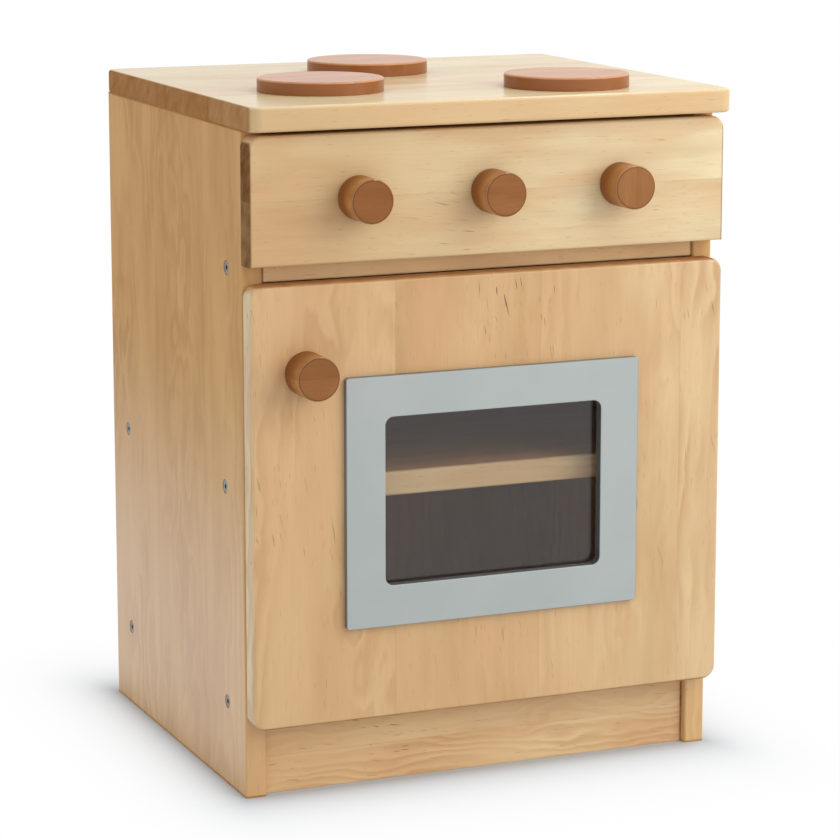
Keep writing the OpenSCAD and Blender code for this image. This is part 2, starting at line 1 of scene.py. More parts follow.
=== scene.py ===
# %% [markdown]
# # A child's wooden play stove
# The stove is a box of maple boards with an oven door, a silver window frame, a smoked pane,
# four turned knobs and three burner discs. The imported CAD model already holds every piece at
# its real size, so it is loaded first and nothing in it is moved. This script gives each piece
# its finish, and makes the pieces whose edges and turned shapes show most once more with
# Blender's own modelling operators, in the same places.

# %% Load the fixed frame
import json
import math

import bmesh
import bpy
from mathutils import Matrix, Vector

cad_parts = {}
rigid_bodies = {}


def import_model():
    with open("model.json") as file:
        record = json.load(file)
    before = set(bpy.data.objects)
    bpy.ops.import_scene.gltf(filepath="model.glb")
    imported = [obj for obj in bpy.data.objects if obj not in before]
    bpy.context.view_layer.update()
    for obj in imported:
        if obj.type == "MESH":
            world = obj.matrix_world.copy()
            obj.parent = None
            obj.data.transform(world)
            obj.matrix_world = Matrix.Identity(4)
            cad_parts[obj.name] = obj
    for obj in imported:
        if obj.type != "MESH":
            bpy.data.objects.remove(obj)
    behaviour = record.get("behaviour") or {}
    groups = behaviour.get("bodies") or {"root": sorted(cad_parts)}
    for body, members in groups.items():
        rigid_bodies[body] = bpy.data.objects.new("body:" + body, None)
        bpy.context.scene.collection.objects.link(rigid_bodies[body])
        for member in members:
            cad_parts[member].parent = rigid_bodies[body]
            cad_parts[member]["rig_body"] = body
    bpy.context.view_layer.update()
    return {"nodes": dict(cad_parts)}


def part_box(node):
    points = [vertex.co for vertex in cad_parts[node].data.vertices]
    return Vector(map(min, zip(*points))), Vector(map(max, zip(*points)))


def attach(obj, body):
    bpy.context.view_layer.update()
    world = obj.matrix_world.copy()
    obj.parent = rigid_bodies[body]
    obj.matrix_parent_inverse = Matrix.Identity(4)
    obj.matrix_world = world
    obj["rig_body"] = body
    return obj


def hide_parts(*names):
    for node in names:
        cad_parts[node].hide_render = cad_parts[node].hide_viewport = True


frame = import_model()
nodes = frame["nodes"]
MM = 0.001

# %% [markdown]
# ## The camera
# The camera comes first, because everything is judged through it. A pinhole camera was fitted
# to the stove's edges in the photograph: it stands 2.9 m away, to the left of the door and a
# little above the top, with a long lens. The photograph's uprights stay parallel, which a lens
# shift gives. Only a twentieth of the frame is used here, since other views keep the shift.

# %% Set up the camera
FRAME_PX = 840
FOCAL_PX = 3207
AXIS_ROW_PX = 378
SENSOR_MM = 36
CAMERA_AT = (-1.132, -2.698, 0.876)
CAMERA_YAW, CAMERA_PITCH = math.radians(22.83), math.radians(10.54)

camera = bpy.data.objects.new("camera", bpy.data.cameras.new("camera"))
bpy.context.scene.collection.objects.link(camera)
bpy.context.scene.camera = camera
camera.location = CAMERA_AT
camera.rotation_euler = (math.pi / 2 - CAMERA_PITCH, 0, -CAMERA_YAW)
camera.data.sensor_width = SENSOR_MM
camera.data.lens = FOCAL_PX / FRAME_PX * SENSOR_MM
camera.data.shift_y = (AXIS_ROW_PX - FRAME_PX / 2) / FRAME_PX
bpy.context.scene.view_settings.view_transform = "Standard"
print("lens", round(camera.data.lens, 1), "mm, shift", round(camera.data.shift_y, 3))

# %% [markdown]
# ## Small helpers for node trees
# A material is a tree of nodes. Writing one link at a time is long, so a few helpers do it:
# `feed` puts a number or a link into a socket, and the others add one node and return what
# comes out of it. Colours are written as they look on screen, and `paint` turns them into the
# linear values that light works with.

# %% Node helpers
UNDER, OVER, MIXED = 6, 7, 2  # a Mix node's colour sockets, by their number


def paint(red, green, blue):
    """A colour as it looks on screen, from 0 to 255, as linear values with full alpha."""
    return (*[((c / 255 + 0.055) / 1.055) ** 2.4 for c in (red, green, blue)], 1)


def feed(tree, socket, value):
    """Links value into a socket if it comes out of a node, or else sets it there."""
    if isinstance(value, bpy.types.NodeSocket):
        tree.links.new(value, socket)
    else:
        socket.default_value = value


def maths(tree, operation, *values):
    """One Math node."""
    node = tree.nodes.new("ShaderNodeMath")
    node.operation = operation
    for socket, value in zip(node.inputs, values):
        feed(tree, socket, value)
    return node.outputs[0]


def step(tree, value, low, high, to_low=0.0, to_high=1.0):
    """A smooth rise from to_low to to_high while value goes from low to high."""
    node = tree.nodes.new("ShaderNodeMapRange")
    node.interpolation_type = "SMOOTHSTEP"
    for name, x in (("Value", value), ("From Min", low), ("From Max", high),
                    ("To Min", to_low), ("To Max", to_high)):
        feed(tree, node.inputs[name], x)
    return node.outputs[0]


def length_of(tree, vector):
    """How long a vector is."""
    node = tree.nodes.new("ShaderNodeVectorMath")
    node.operation = "LENGTH"
    feed(tree, node.inputs[0], vector)
    return node.outputs["Value"]


def combine(tree, x, y, z):
    """One vector from three numbers."""
    node = tree.nodes.new("ShaderNodeCombineXYZ")
    for socket, value in zip(node.inputs, (x, y, z)):
        feed(tree, socket, value)
    return node.outputs[0]


def separate(tree, vector):
    """The three numbers of a vector."""
    node = tree.nodes.new("ShaderNodeSeparateXYZ")
    feed(tree, node.inputs[0], vector)
    return node.outputs


def noise(tree, vector, scale=1.0, detail=2.0, roughness=0.5):
    """Soft random values round 0.5 along a vector."""
    node = tree.nodes.new("ShaderNodeTexNoise")
    for name, x in (("Vector", vector), ("Scale", scale), ("Detail", detail),
                    ("Roughness", roughness)):
        feed(tree, node.inputs[name], x)
    return node.outputs["Fac"]


def tint(tree, factor, under, over):
    """Lays the colour over on the colour under, by factor."""
    node = tree.nodes.new("ShaderNodeMix")
    node.data_type = "RGBA"
    feed(tree, node.inputs["Factor"], factor)
    feed(tree, node.inputs[UNDER], under)
    feed(tree, node.inputs[OVER], over)
    return node.outputs[MIXED]


# %% [markdown]
# ## Helpers for groups and materials
# An effect that many pieces share is a node group with named inputs and outputs, built once
# and then placed in each material with its own values. The shader itself stays in the
# material. Relief too small to model, such as open grain, comes from a Bump node.

# %% Group and material helpers
def new_group(name, inputs, outputs):
    """A shader node group, with its input and output nodes."""
    group = bpy.data.node_groups.new(name, "ShaderNodeTree")
    for label, kind, value in inputs:
        socket = group.interface.new_socket(label, in_out="INPUT", socket_type="NodeSocket" + kind)
        if value is not None:
            socket.default_value = value
    for label, kind in outputs:
        group.interface.new_socket(label, in_out="OUTPUT", socket_type="NodeSocket" + kind)
    return group, group.nodes.new("NodeGroupInput").outputs, group.nodes.new("NodeGroupOutput").inputs


def new_material(name):
    """A material with a Principled shader; returns it, its tree, shader and Object coordinates."""
    material = bpy.data.materials.new(name)
    material.use_nodes = True
    tree = material.node_tree
    shader = tree.nodes["Principled BSDF"]
    place = tree.nodes.new("ShaderNodeTexCoord").outputs["Object"]
    return material, tree, shader, place


def place_group(tree, group, **values):
    """Places a group in a material. A value's name is its input's, with _ for a space."""
    node = tree.nodes.new("ShaderNodeGroup")
    node.node_tree = group
    for name, value in values.items():
        feed(tree, node.inputs[name.replace("_", " ")], value)
    return node.outputs


def bump(tree, shader, height, distance, strength):
    """Fine relief on a shader, as deep as distance where height is 1."""
    node = tree.nodes.new("ShaderNodeBump")
    node.inputs["Strength"].default_value = strength
    node.inputs["Distance"].default_value = distance
    feed(tree, node.inputs["Height"], height)
    tree.links.new(node.outputs[0], shader.inputs["Normal"])


# %% [markdown]
# ## Maple, as a shared group
# The case is solid maple under a satin lacquer. A picture of wood would stretch at the edges,
# so the grain is worked out in space, as in a real plank: x runs along the grain, y across
# the staves that the board is glued up from, and z into its thickness. Inside the group all
# lengths are in millimetres. Each stave draws six lots from 0 to 1, and the first one shifts
# it to another part of the tree, so that no two staves are alike.

# %% Start the maple group
maple, have, give = new_group(
    "maple",
    [("Vector", "Vector", None), ("Half length", "Float", 1.0), ("Stave width", "Float", 138.0),
     ("Stave shift", "Float", 0.0), ("Seed", "Float", 0.0), ("Stave contrast", "Float", 0.3),
     ("Figure", "Float", 0.35), ("Streaks", "Float", 0.5), ("Streaks along", "Float", 999.0),
     ("Streaks across", "Float", 0.0), ("Ring width", "Float", 12.0), ("Painted light", "Float", 0.0),
     ("Face", "Color", paint(221, 183, 134)), ("Late wood", "Color", paint(190, 141, 90)),
     ("Blush", "Color", paint(222, 171, 125)), ("End", "Color", paint(164, 110, 62))],
    [("Colour", "Color"), ("Roughness", "Float"), ("Height", "Float"), ("End mask", "Float")])

TREE_MM = 900.0
along, across, depth = [maths(maple, "MULTIPLY", s, 1 / MM) for s in separate(maple, have["Vector"])]
stave_at = maths(maple, "ADD", maths(maple, "DIVIDE", across, have["Stave width"]), have["Stave shift"])
in_stave = maths(maple, "SUBTRACT", maths(maple, "FRACT", stave_at), 0.5)
lots = []
for draw in (0.5, 9.5):
    lot = maple.nodes.new("ShaderNodeTexWhiteNoise")
    lot.noise_dimensions = "3D"
    stave = combine(maple, maths(maple, "FLOOR", stave_at), have["Seed"], draw)
    feed(maple, lot.inputs["Vector"], stave)
    lots.extend(separate(maple, lot.outputs["Color"]))
along_tree = maths(maple, "ADD", along, maths(maple, "MULTIPLY", lots[0], TREE_MM))


def drawn_out(scale_along, scale_across, layer=0.0, **look):
    """Noise stretched along the grain of the tree that the stave came from."""
    place = combine(maple, maths(maple, "MULTIPLY", along_tree, scale_along),
                    maths(maple, "MULTIPLY", across, scale_across),
                    maths(maple, "MULTIPLY_ADD", depth, scale_across, layer))
    return noise(maple, place, **look)


# %% [markdown]
# ### Growth rings
# Rings are shells round the heart of the tree. The heart's line slopes through the stave and
# wanders, so a face cuts the shells in long arches, as on a real board. Within a ring the tone
# rises slowly and drops at once, as early wood turns to late wood. A broad noise hides the
# rings in places, because maple's figure comes and goes.

# %% Growth rings
HEART_ASIDE_MM, HEART_SLOPE, HEART_BELOW_MM, WANDER_MM = 45.0, 0.07, 12.0, 60.0
LATE_FROM = 0.75
wander = drawn_out(0.011, 0.03, detail=2.0)
sideways = maths(maple, "MULTIPLY_ADD", in_stave, have["Stave width"],
                 maths(maple, "MULTIPLY_ADD", lots[1], 2 * HEART_ASIDE_MM, -HEART_ASIDE_MM))
below = maths(maple, "ADD", maths(maple, "MULTIPLY_ADD", along_tree, HEART_SLOPE, HEART_BELOW_MM),
              maths(maple, "MULTIPLY_ADD", wander, WANDER_MM, depth))
radius = maths(maple, "SQRT", maths(maple, "ADD", maths(maple, "POWER", sideways, 2.0),
                                    maths(maple, "POWER", below, 2.0)))
ring_at = maths(maple, "FRACT", maths(maple, "DIVIDE", radius, have["Ring width"]))
ring = maths(maple, "MULTIPLY", step(maple, ring_at, 0.0, LATE_FROM),
             step(maple, ring_at, LATE_FROM, 1.0, 1.0, 0.0))
shows = maths(maple, "MULTIPLY", step(maple, drawn_out(0.006, 0.015, 4.0, detail=1.0), 0.38, 0.62),
              maths(maple, "MULTIPLY_ADD", lots[3], 0.8, 0.2))

# %% [markdown]
# ### Clouds, fibres, flecks and streaks
# Each layer is the same noise, stretched by other amounts along and across the grain, and a
# step keeps only its peaks where the real mark is small. Dark mineral streaks are the rarest:
# they lie a little slanted and come in patches, and two inputs of the group place a cluster of
# them at a given spot. The joint is the thin glue line between two staves.

# %% Clouds, fibres, flecks and streaks
cloud = drawn_out(0.006, 0.022, 11.0, detail=2.0)
stripe = drawn_out(0.0025, 0.09, 41.0, detail=1.0)
blush = step(maple, drawn_out(0.009, 0.028, 23.0, detail=1.0), 0.40, 0.66)
fibre = drawn_out(0.02, 0.5, detail=3.0, roughness=0.6)
fleck = step(maple, drawn_out(0.07, 1.1, 5.0, detail=1.0), 0.68, 0.78)

SLANT, SWAY_MM = 0.12, 16.0
sway = drawn_out(0.02, 0.03, 31.0, detail=0.0)
slanted = maths(maple, "MULTIPLY_ADD", along, SLANT, maths(maple, "MULTIPLY_ADD", sway, SWAY_MM, across))
streak_field = noise(maple, combine(maple, maths(maple, "MULTIPLY", along_tree, 0.042),
                                    maths(maple, "MULTIPLY", slanted, 0.55),
                                    maths(maple, "MULTIPLY", depth, 0.2)), detail=1.0)
patches = step(maple, drawn_out(0.012, 0.012, 17.0, detail=0.0), 0.46, 0.66, 0.0, 0.45)
gap = combine(maple, maths(maple, "SUBTRACT", along, have["Streaks along"]),
              maths(maple, "SUBTRACT", across, have["Streaks across"]), 0.0)
cluster = step(maple, length_of(maple, gap), 20.0, 70.0, 1.0, 0.0)
streak = maths(maple, "MULTIPLY", step(maple, streak_field, 0.69, 0.75),
               maths(maple, "MAXIMUM", patches, cluster))

to_joint = maths(maple, "SUBTRACT", 0.5, maths(maple, "ABSOLUTE", in_stave))
joint = step(maple, maths(maple, "MULTIPLY", to_joint, have["Stave width"]), 0.1, 0.6, 1.0, 0.0)

# %% [markdown]
# ### The layers over each other
# The layers are laid on the face colour one at a time, broad ones first and dark marks last.
# Their factors stay low, because maple is a quiet wood.

# %% Lay the layers
FIBRE_TONE, FLECK_TONE, JOINT_TONE = 0.09, 0.42, 0.12
stave_tone = maths(maple, "MULTIPLY", maths(maple, "SUBTRACT", lots[2], 0.5), have["Stave contrast"])
tone = maths(maple, "ADD", maths(maple, "MULTIPLY_ADD", cloud, 1.2, -0.54),
             maths(maple, "MULTIPLY_ADD", stripe, 0.2, stave_tone))
blush_tone = maths(maple, "MULTIPLY", blush, maths(maple, "MULTIPLY_ADD", lots[4], 0.4, 0.1))
ring_tone = maths(maple, "MULTIPLY", maths(maple, "MULTIPLY", ring, shows), have["Figure"])
fibre_tone = maths(maple, "MULTIPLY", step(maple, fibre, 0.35, 0.75), FIBRE_TONE)
# Painted light: the face colour is lifted toward a pale cream where a board asks for it.
colour = tint(maple, have["Painted light"], have["Face"], paint(241, 227, 185))
colour = tint(maple, tone, colour, have["Late wood"])
colour = tint(maple, blush_tone, colour, have["Blush"])
colour = tint(maple, ring_tone, colour, have["Late wood"])
colour = tint(maple, fibre_tone, colour, have["Late wood"])
colour = tint(maple, maths(maple, "MULTIPLY", fleck, FLECK_TONE), colour, paint(152, 98, 54))
colour = tint(maple, maths(maple, "MULTIPLY", streak, have["Streaks"]), colour, paint(84, 48, 24))
colour = tint(maple, maths(maple, "MULTIPLY", joint, JOINT_TONE), colour, paint(120, 80, 45))

# %% [markdown]
# ### The ends of a board
# The ends drink more lacquer, so they are darker and redder. They show no long fibres, only
# soft fields that change from stave to stave. The change of colour lies in the last two
# millimetres of the length, where the edge is rounded over.

# %% Finish the maple group
END_FULL, END_STARTS = 0.7 * MM, 2.6 * MM
end_depth = maths(maple, "MULTIPLY_ADD", across, 0.04, maths(maple, "MULTIPLY", depth, 0.07))
end_field = noise(maple, combine(maple, maths(maple, "MULTIPLY", across, 0.06), end_depth, have["Seed"]),
                  detail=2.0)
end_tone = maths(maple, "ADD", maths(maple, "MULTIPLY_ADD", end_field, 0.6, -0.2),
                 maths(maple, "MULTIPLY", lots[5], 0.2))
end_colour = tint(maple, end_tone, have["End"], have["Face"])
from_end = maths(maple, "SUBTRACT", have["Half length"],
                 maths(maple, "MULTIPLY", maths(maple, "ABSOLUTE", along), MM))
at_end = step(maple, from_end, END_FULL, END_STARTS, 1.0, 0.0)
maple.links.new(tint(maple, at_end, colour, end_colour), give["Colour"])
maple.links.new(maths(maple, "MULTIPLY_ADD", fibre, 0.12, 0.34), give["Roughness"])
maple.links.new(maths(maple, "ADD", fibre, maths(maple, "MULTIPLY", ring, 0.4)), give["Height"])
maple.links.new(at_end, give["End mask"])
print("maple group:", len(maple.nodes), "nodes")

# %% [markdown]
# ## Maple for one board
# A board's material turns Object coordinates into directions of the grain: a Mapping node
# moves the zero to the board's middle, and the axes are put in the order along, across and
# through. Painted light, a pale cream mixed into the colour, can be faded in from one side,
# where light or a sheen falls more strongly, and the lacquer can grow toward the floor, where
# the photograph's sides shine more. Raw ends get no clear coat.

# %% Maple for one board
SHINE_LOW, SHINE_HIGH = 0.12, 0.40
MAPLE_RELIEF, MAPLE_COAT_ROUGH = 0.05 * MM, 0.2


def grain_space(tree, place, centre, order):
    """Object coordinates from a board's centre, in the order along, across, depth."""
    mapping = tree.nodes.new("ShaderNodeMapping")
    tree.links.new(place, mapping.inputs["Vector"])
    mapping.inputs["Location"].default_value = [-c for c in centre]
    parts = separate(tree, mapping.outputs[0])
    return combine(tree, *[parts["XYZ".index(axis)] for axis in order])


def maple_for(node, order, lacquer=0.5, lacquer_low=None, painted_light=(), **values):
    """Lacquered maple for one board. order names the axes along the grain, across it and through.

    painted_light lists an axis, where the painted light starts and is full on it, and how strong it gets.
    """
    low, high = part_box(node)
    material, tree, shader, place = new_material("maple_" + node)
    half = (high - low)["XYZ".index(order[0])] / 2
    # Painted light: a paler cream that stands for light or sheen falling more on one side.
    values["Painted light"] = 0.0
    for axis, start, full, amount in painted_light:
        more = step(tree, separate(tree, place)["XYZ".index(axis)], start, full, 0.0, amount)
        values["Painted light"] = maths(tree, "ADD", values["Painted light"], more)
    wood = place_group(tree, maple, Vector=grain_space(tree, place, (low + high) / 2, order),
                       Half_length=half, **values)
    tree.links.new(wood["Colour"], shader.inputs["Base Color"])
    tree.links.new(wood["Roughness"], shader.inputs["Roughness"])
    if lacquer_low is not None:
        lacquer = step(tree, separate(tree, place)[2], SHINE_LOW, SHINE_HIGH, lacquer_low, lacquer)
    gloss = maths(tree, "MULTIPLY", lacquer, step(tree, wood["End mask"], 0.0, 1.0, 1.0, 0.0))
    tree.links.new(gloss, shader.inputs["Coat Weight"])
    shader.inputs["Coat Roughness"].default_value = MAPLE_COAT_ROUGH
    shader.inputs["Specular IOR Level"].default_value = 0.0
    bump(tree, shader, wood["Height"], MAPLE_RELIEF, 0.3)
    return material


# %% [markdown]
# ## Stained wood for the knobs and burners
# The knobs and discs are a harder, redder wood. A knob is glued from two halves before it is
# turned, so one half of its face can be a shade darker. A thin dark ring lies at the inner
# edge of the chamfer, and the chamfer gets a painted highlight, a paler line where the lacquer
# catches the light. The side fades from a light front to a dark back, which is painted
# reflection near the face and painted shade toward the back.

# %% Build the stained wood group
# Side and Side back are a lit front and a painted shade at the back of a turned side.
stained, have, give = new_group(
    "stained_wood",
    [("Vector", "Vector", None), ("Seed", "Float", 0.0), ("Split", "Float", 0.5),
     ("Ring at", "Float", -99.0), ("Face at", "Float", 0.0), ("Face", "Color", paint(170, 116, 70)),
     ("Side", "Color", paint(208, 148, 86)), ("Side back", "Color", paint(150, 92, 42)),
     ("Deep", "Color", paint(130, 78, 36))],
    [("Colour", "Color"), ("Roughness", "Float"), ("Height", "Float")])
along, across, depth = [maths(stained, "MULTIPLY", s, 1 / MM) for s in separate(stained, have["Vector"])]
far_along = maths(stained, "ADD", along, maths(stained, "MULTIPLY", have["Seed"], 37.0))
fibre = noise(stained, combine(stained, maths(stained, "MULTIPLY", far_along, 0.06),
                               maths(stained, "MULTIPLY", across, 0.8),
                               maths(stained, "MULTIPLY", depth, 0.8)), detail=3.0, roughness=0.6)
cloud = noise(stained, combine(stained, maths(stained, "MULTIPLY", far_along, 0.02),
                               maths(stained, "MULTIPLY", across, 0.09),
                               maths(stained, "MULTIPLY", depth, 0.09)), detail=2.0)

# Masks in millimetres: the darker half, the side, the ring on the face and the painted highlight on the
# chamfer
half = step(stained, across, -0.35, 0.35)
from_axis = length_of(stained, combine(stained, along, across, 0.0))
from_face = maths(stained, "ABSOLUTE", maths(stained, "SUBTRACT", depth, have["Face at"]))
on_side = step(stained, from_face, 1.0, 2.0)
from_ring = maths(stained, "ABSOLUTE", maths(stained, "SUBTRACT", from_axis, have["Ring at"]))
ring = maths(stained, "MULTIPLY", step(stained, from_face, 0.6, 1.0, 1.0, 0.0),
             step(stained, from_ring, 0.25, 0.8, 1.0, 0.0))
# Painted highlight: a paler line on the chamfer where the lacquer catches the light.
painted_rim_highlight = maths(stained, "MULTIPLY", step(stained, from_face, 0.05, 0.3, 0.0, 0.45),
                  step(stained, from_face, 0.9, 1.2, 1.0, 0.0))

# Painted reflection and shade: the side is lighter near the face and darker toward the back.
side_with_painted_shade = tint(stained, step(stained, from_face, 3.0, 24.0), have["Side"], have["Side back"])
fibre_tone = maths(stained, "MULTIPLY", step(stained, fibre, 0.4, 0.75), 0.3)
colour = tint(stained, on_side, have["Face"], side_with_painted_shade)
colour = tint(stained, maths(stained, "MULTIPLY_ADD", cloud, 1.1, -0.35), colour, have["Deep"])
colour = tint(stained, fibre_tone, colour, have["Deep"])
colour = tint(stained, maths(stained, "MULTIPLY", half, have["Split"]), colour, have["Deep"])
colour = tint(stained, painted_rim_highlight, colour, paint(214, 164, 118))
colour = tint(stained, maths(stained, "MULTIPLY", ring, 0.6), colour, paint(96, 50, 20))
stained.links.new(colour, give["Colour"])
stained.links.new(maths(stained, "MULTIPLY_ADD", fibre, 0.15, 0.35), give["Roughness"])
stained.links.new(fibre, give["Height"])
print("stained wood group:", len(stained.nodes), "nodes")

# %% [markdown]
# ## Stained wood for one piece
# As for a board, the grain's zero is at the middle of the piece, so the ring and the split can
# be measured from its axis. The knobs and discs have a glossier coat than the boards.

# %% Stained wood for one piece
STAINED_RELIEF, STAINED_COAT_ROUGH = 0.04 * MM, 0.12


def stained_for(node, order, lacquer, **values):
    """Stained wood for a knob or disc, its grain centred on the piece."""
    low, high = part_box(node)
    material, tree, shader, place = new_material("stained_" + node)
    wood = place_group(tree, stained, Vector=grain_space(tree, place, (low + high) / 2, order), **values)
    tree.links.new(wood["Colour"], shader.inputs["Base Color"])
    tree.links.new(wood["Roughness"], shader.inputs["Roughness"])
    shader.inputs["Coat Weight"].default_value = lacquer
    shader.inputs["Coat Roughness"].default_value = STAINED_COAT_ROUGH
    shader.inputs["Specular IOR Level"].default_value = 0.0
    bump(tree, shader, wood["Height"], STAINED_RELIEF, 0.3)
    return material


# %% [markdown]
# ## Steel, nylon, rubber and silver lacquer
# These are sprayed, plated or moulded, so they have no grain. A fine and a coarse noise vary
# their colour and gloss a little, which keeps them from looking like plain plastic. The bolts
# are a darker steel than the zinc-plated screws. The silver lacquer is made later, with the
# window frame.

# %% Small finishes
COARSE_SCALE = 18.0


def speckled(name, base, other, metallic, rough, grain_mm, relief_mm):
    """A finish whose colour and gloss vary a little over a fine and a coarse noise."""
    material, tree, shader, place = new_material(name)
    fine = noise(tree, place, 1 / (grain_mm * MM), 2.0)
    coarse = noise(tree, place, COARSE_SCALE, 2.0)
    mixed = maths(tree, "MULTIPLY_ADD", coarse, 0.6, maths(tree, "MULTIPLY", fine, 0.4))
    tree.links.new(tint(tree, step(tree, mixed, 0.3, 0.7), base, other), shader.inputs["Base Color"])
    tree.links.new(maths(tree, "MULTIPLY_ADD", fine, 0.16, rough - 0.08), shader.inputs["Roughness"])
    shader.inputs["Metallic"].default_value = metallic
    bump(tree, shader, fine, relief_mm * MM, 0.4)
    return material


bolt_steel = speckled("bolt_steel", paint(140, 139, 134), paint(112, 110, 105),
                      metallic=1.0, rough=0.35, grain_mm=0.8, relief_mm=0.01)
zinc_steel = speckled("zinc_steel", paint(196, 198, 200), paint(170, 172, 175),
                      metallic=1.0, rough=0.35, grain_mm=0.8, relief_mm=0.01)
white_nylon = speckled("white_nylon", paint(238, 236, 228), paint(228, 225, 216),
                       metallic=0.0, rough=0.5, grain_mm=1.0, relief_mm=0.02)
dark_rubber = speckled("dark_rubber", paint(62, 60, 58), paint(50, 48, 47),
                       metallic=0.0, rough=0.8, grain_mm=0.7, relief_mm=0.04)
print("small finishes:", [m.name for m in (bolt_steel, zinc_steel, white_nylon, dark_rubber)])

# %% [markdown]
# ## The smoked pane
# A clear plastic sheet with a brown-grey tint. Light passes it on the way in and on the way
# out, so the shelf behind it looks only a little duller, and the unlit oven nearly black. A
# lamp's light would stop at a sheet that bends it, so shadow rays meet a plain see-through
# shader instead, which only tints them.

# %% Make the pane's material
ACRYLIC_IOR = 1.49
smoked, tree, shader, _ = new_material("smoked_sheet")
shader.inputs["Base Color"].default_value = paint(228, 222, 216)
shader.inputs["Roughness"].default_value = 0.02
shader.inputs["IOR"].default_value = ACRYLIC_IOR
shader.inputs["Transmission Weight"].default_value = 1.0
shadow_pass = tree.nodes.new("ShaderNodeBsdfTransparent")
shadow_pass.inputs["Color"].default_value = paint(240, 236, 232)
let_through = tree.nodes.new("ShaderNodeMixShader")
feed(tree, let_through.inputs[0], tree.nodes.new("ShaderNodeLightPath").outputs["Is Shadow Ray"])
tree.links.new(shader.outputs[0], let_through.inputs[1])
tree.links.new(shadow_pass.outputs[0], let_through.inputs[2])
tree.links.new(let_through.outputs[0], tree.nodes["Material Output"].inputs["Surface"])
print("pane's material:", smoked.name)

# %% [markdown]
# ## Boards from blocks
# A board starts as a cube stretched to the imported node's own box, so it can't miss its place.
# Then come the same steps as at the bench: round the corners that show, run a rounding cutter
# round the rims, and drill. Each rounding is a bevel on chosen edges. Each hole is carved with
# a Boolean, which stays exact where a dozen holes meet the same board.

# %% Tools for shaping blocks
TOUCH = 0.001 * MM
SHARP_FROM = math.radians(42)


def slab(low, high):
    """A plain block between two corners."""
    bm = bmesh.new()
    bmesh.ops.create_cube(bm, size=1)
    bmesh.ops.scale(bm, vec=high - low, verts=bm.verts)
    bmesh.ops.translate(bm, vec=(low + high) / 2, verts=bm.verts)
    return bm


def edges_along(bm, axis, chosen=lambda middle: True):
    """The edges that run along an axis, where chosen() accepts their middle."""
    i = "XYZ".index(axis)
    found = []
    for edge in bm.edges:
        a, b = (v.co for v in edge.verts)
        if abs((b - a)[i]) > 0.999 * (b - a).length and chosen((a + b) / 2):
            found.append(edge)
    return found


def rim(bm, axis, place):
    """The edges that lie in the plane where axis is at place."""
    i = "XYZ".index(axis)
    return [e for e in bm.edges if all(abs(v.co[i] - place) < TOUCH for v in e.verts)]


def round_off(bm, edges, radius, segments=5):
    """Rounds edges to a radius, as a router bit does. One segment makes a chamfer."""
    bmesh.ops.bevel(bm, geom=edges, offset=radius, offset_type="OFFSET", affect="EDGES",
                    segments=segments, profile=0.5, material=-1, clamp_overlap=True)


def carve(bm, cutter):
    """Takes the cutter out of a solid and returns what is left. Both bmeshes are used up."""
    pair = []
    for part in (bm, cutter):
        mesh = bpy.data.meshes.new("carving")
        part.to_mesh(mesh)
        part.free()
        pair.append(bpy.data.objects.new("carving", mesh))
        bpy.context.scene.collection.objects.link(pair[-1])
    modifier = pair[0].modifiers.new("carve", "BOOLEAN")
    modifier.operation, modifier.solver, modifier.object = "DIFFERENCE", "EXACT", pair[1]
    left = bpy.data.meshes.new_from_object(pair[0].evaluated_get(bpy.context.evaluated_depsgraph_get()))
    result = bmesh.new()
    result.from_mesh(left)
    bpy.data.meshes.remove(left)
    for part in pair:
        mesh = part.data
        bpy.data.objects.remove(part)
        bpy.data.meshes.remove(mesh)
    return result


# %% [markdown]
# ## Holes, rods and the finished piece
# The cutters for the screws' holes are copies of the imported screws, a tenth of a millimetre
# fatter, so each hole is where its screw is. `finish` turns a shape into a piece: it closes
# the seams, points the faces outwards, shades round edges smoothly, names the piece after the
# imported node it stands for, hides that node, and ties the piece to the body it moves with.

# %% Holes, rods and the finished piece
SCREW_CLEAR = 0.1 * MM


def room_for(*fasteners):
    """Copies of packed fasteners, a little fatter, as a cutter for their holes."""
    bm = bmesh.new()
    for node in fasteners:
        bm.from_mesh(nodes[node].data)
    bmesh.ops.remove_doubles(bm, verts=bm.verts, dist=TOUCH)
    bm.normal_update()
    for vert in bm.verts:
        vert.co += vert.normal * SCREW_CLEAR * vert.calc_shell_factor()
    return bm


def rod(bm, start, end, radius, segments=32):
    """Adds a closed round rod between two points."""
    way = end - start
    place = Matrix.Translation((start + end) / 2) @ way.to_track_quat("Z", "Y").to_matrix().to_4x4()
    bmesh.ops.create_cone(bm, cap_ends=True, cap_tris=False, segments=segments, radius1=radius,
                          radius2=radius, depth=way.length, matrix=place)


def finish(bm, node, material):
    """Makes the bmesh a finished piece that stands for a CAD node and moves with its body."""
    bmesh.ops.remove_doubles(bm, verts=bm.verts, dist=TOUCH)
    bmesh.ops.recalc_face_normals(bm, faces=bm.faces)
    mesh = bpy.data.meshes.new("made_" + node)
    bm.to_mesh(mesh)
    bm.free()
    mesh.shade_smooth()
    mesh.set_sharp_from_angle(angle=SHARP_FROM)
    mesh.materials.append(material)
    piece = bpy.data.objects.new("made_" + node, mesh)
    bpy.context.scene.collection.objects.link(piece)
    piece.modifiers.new("even shading", "WEIGHTED_NORMAL").keep_sharp = True
    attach(piece, nodes[node]["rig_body"])
    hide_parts(node)
    print(node, "made with", len(mesh.polygons), "faces")
